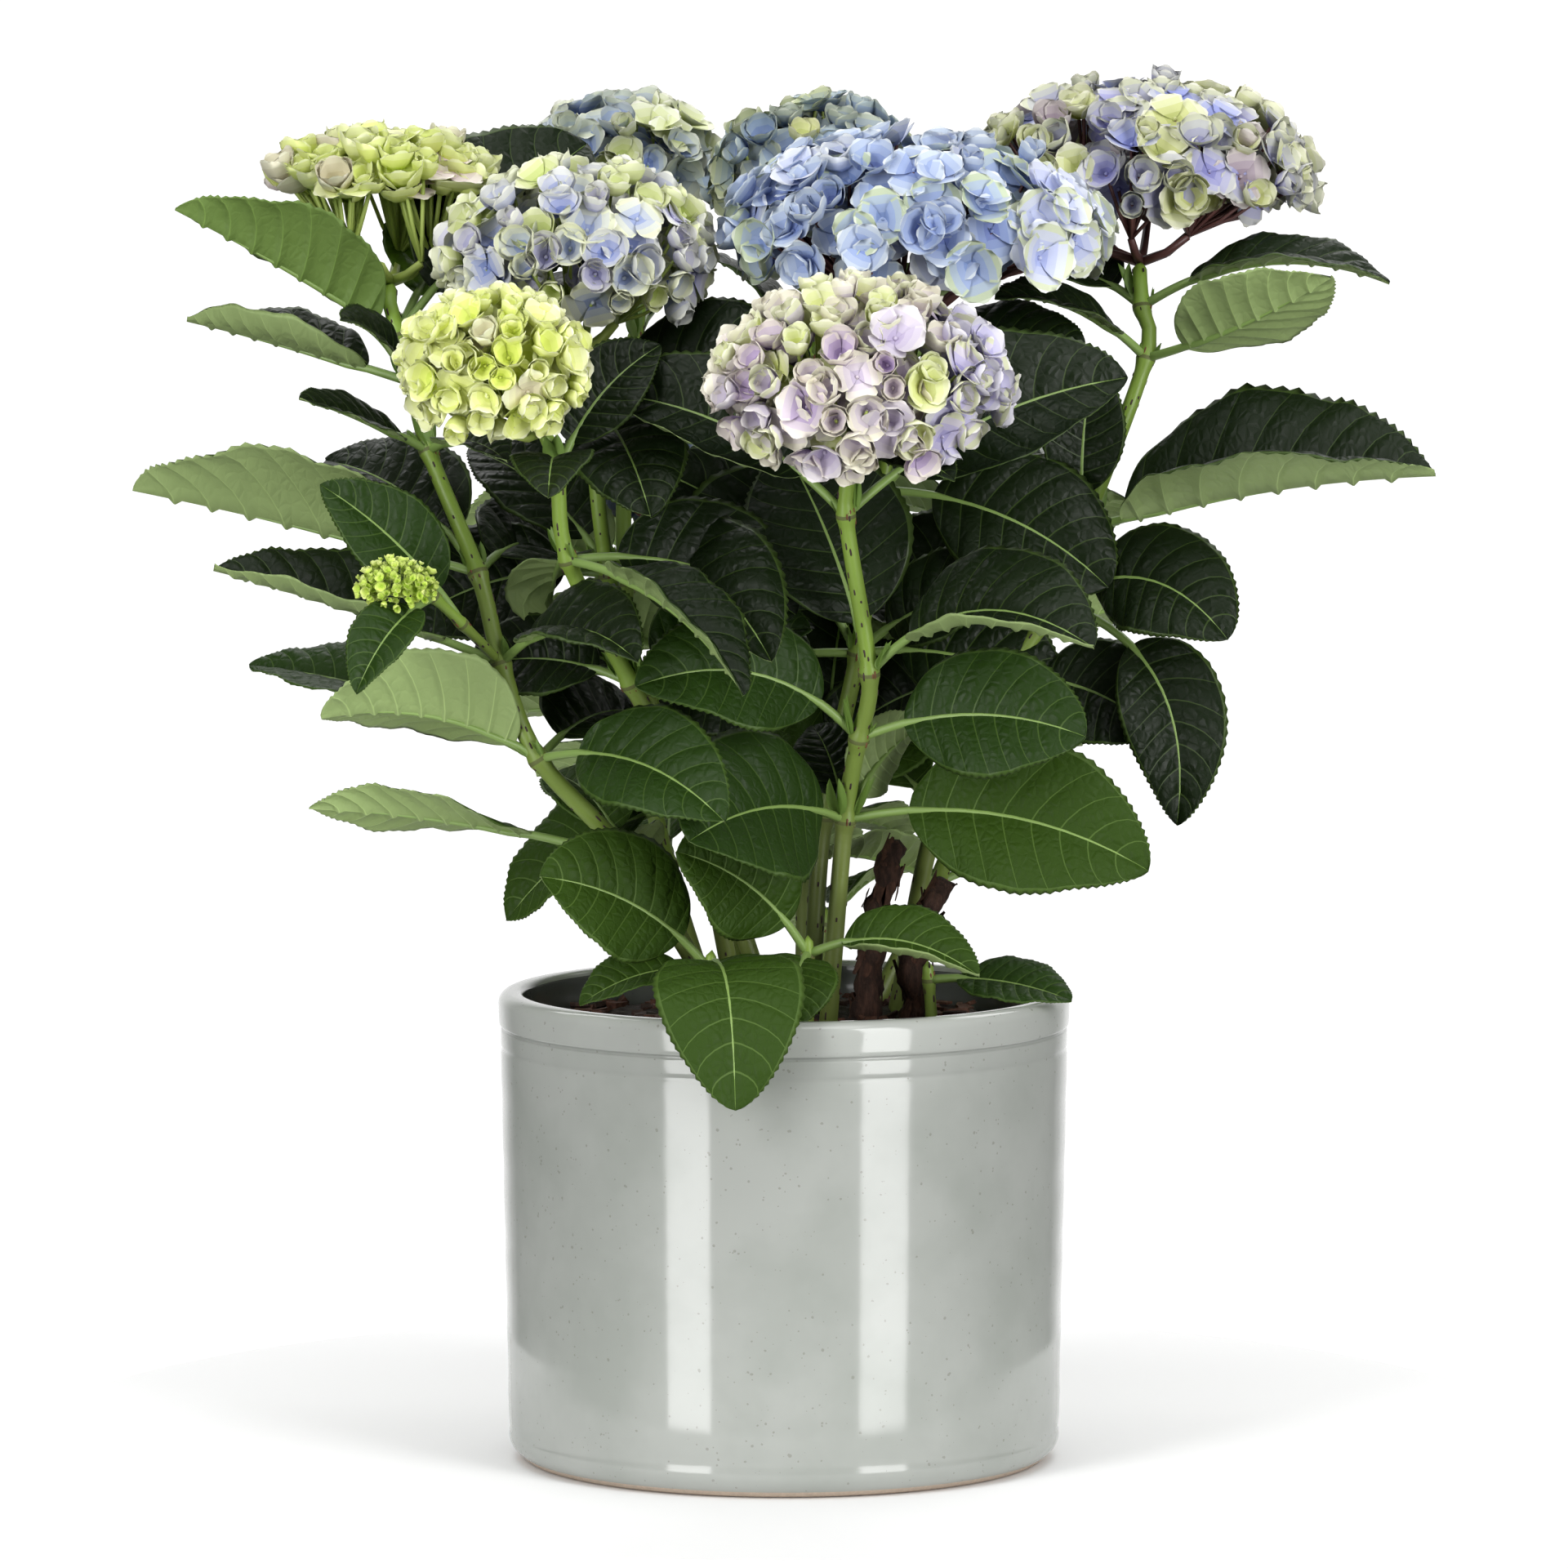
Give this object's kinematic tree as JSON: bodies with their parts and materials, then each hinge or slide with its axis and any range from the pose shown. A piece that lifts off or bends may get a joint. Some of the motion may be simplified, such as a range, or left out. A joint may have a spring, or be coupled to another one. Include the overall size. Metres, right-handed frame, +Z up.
{
  "type": "potted hydrangea",
  "caption": "Flowering mophead hydrangea in a round glazed pot: upright green shoots with paired toothed leaves and domed blue, lavender, cream and lime heads; stands on its pot.",
  "frame": {"origin": "centre of the pot's flat underside", "axes": "+Z up out of the pot's mouth, +X to the plant's right and -Y to its front, where the low leaves hang over the rim"},
  "size_m": [0.3852, 0.2815, 0.4154],
  "materials": {
    "glaze": "glossy grey-green glaze with fine speckles",
    "soil": "moist dark potting soil",
    "bark": "dry peeling bark",
    "stem_green": "satin green stem with dark flecks",
    "leaf_green": "satin leaf",
    "petals_lime": "soft petal",
    "petals_blue": "soft petal",
    "petals_sea": "soft petal",
    "petals_lavender": "soft petal",
    "petals_mauve": "soft petal"
  },
  "bodies": {
    "root": {"pot": "glaze", "soil": "soil", "stem_left": "stem_green", "stem_front": "stem_green", "stem_mid_left": "stem_green", "stem_inner_left": "stem_green", "stem_centre": "stem_green", "stem_right": "stem_green", "stem_back_left": "stem_green", "stem_back": "stem_green", "stem_back_low": "stem_green", "stem_back_right": "stem_green", "woody_stub": "bark", "woody_stub_short": "bark", "leaves_left": "leaf_green", "leaves_front": "leaf_green", "leaves_mid_left": "leaf_green", "leaves_inner_left": "leaf_green", "leaves_centre": "leaf_green", "leaves_right": "leaf_green", "leaves_back_left": "leaf_green", "leaves_back": "leaf_green", "leaves_back_low": "leaf_green", "leaves_back_right": "leaf_green", "leaves_low_left": "leaf_green", "leaves_low_front": "leaf_green", "leaves_low_right": "leaf_green", "leaves_low_back": "leaf_green", "bloom_left": "petals_lime", "bloom_back_left": "petals_sea", "bloom_back": "petals_sea", "bloom_centre": "petals_blue", "bloom_inner_left": "petals_lavender", "bloom_mid_left": "petals_lime", "bloom_front": "petals_mauve", "bloom_right": "petals_lavender", "bud_cluster": "petals_lime", "bloom_back_low": "petals_blue", "bloom_back_right": "petals_lavender"}
  },
  "joints": []
}
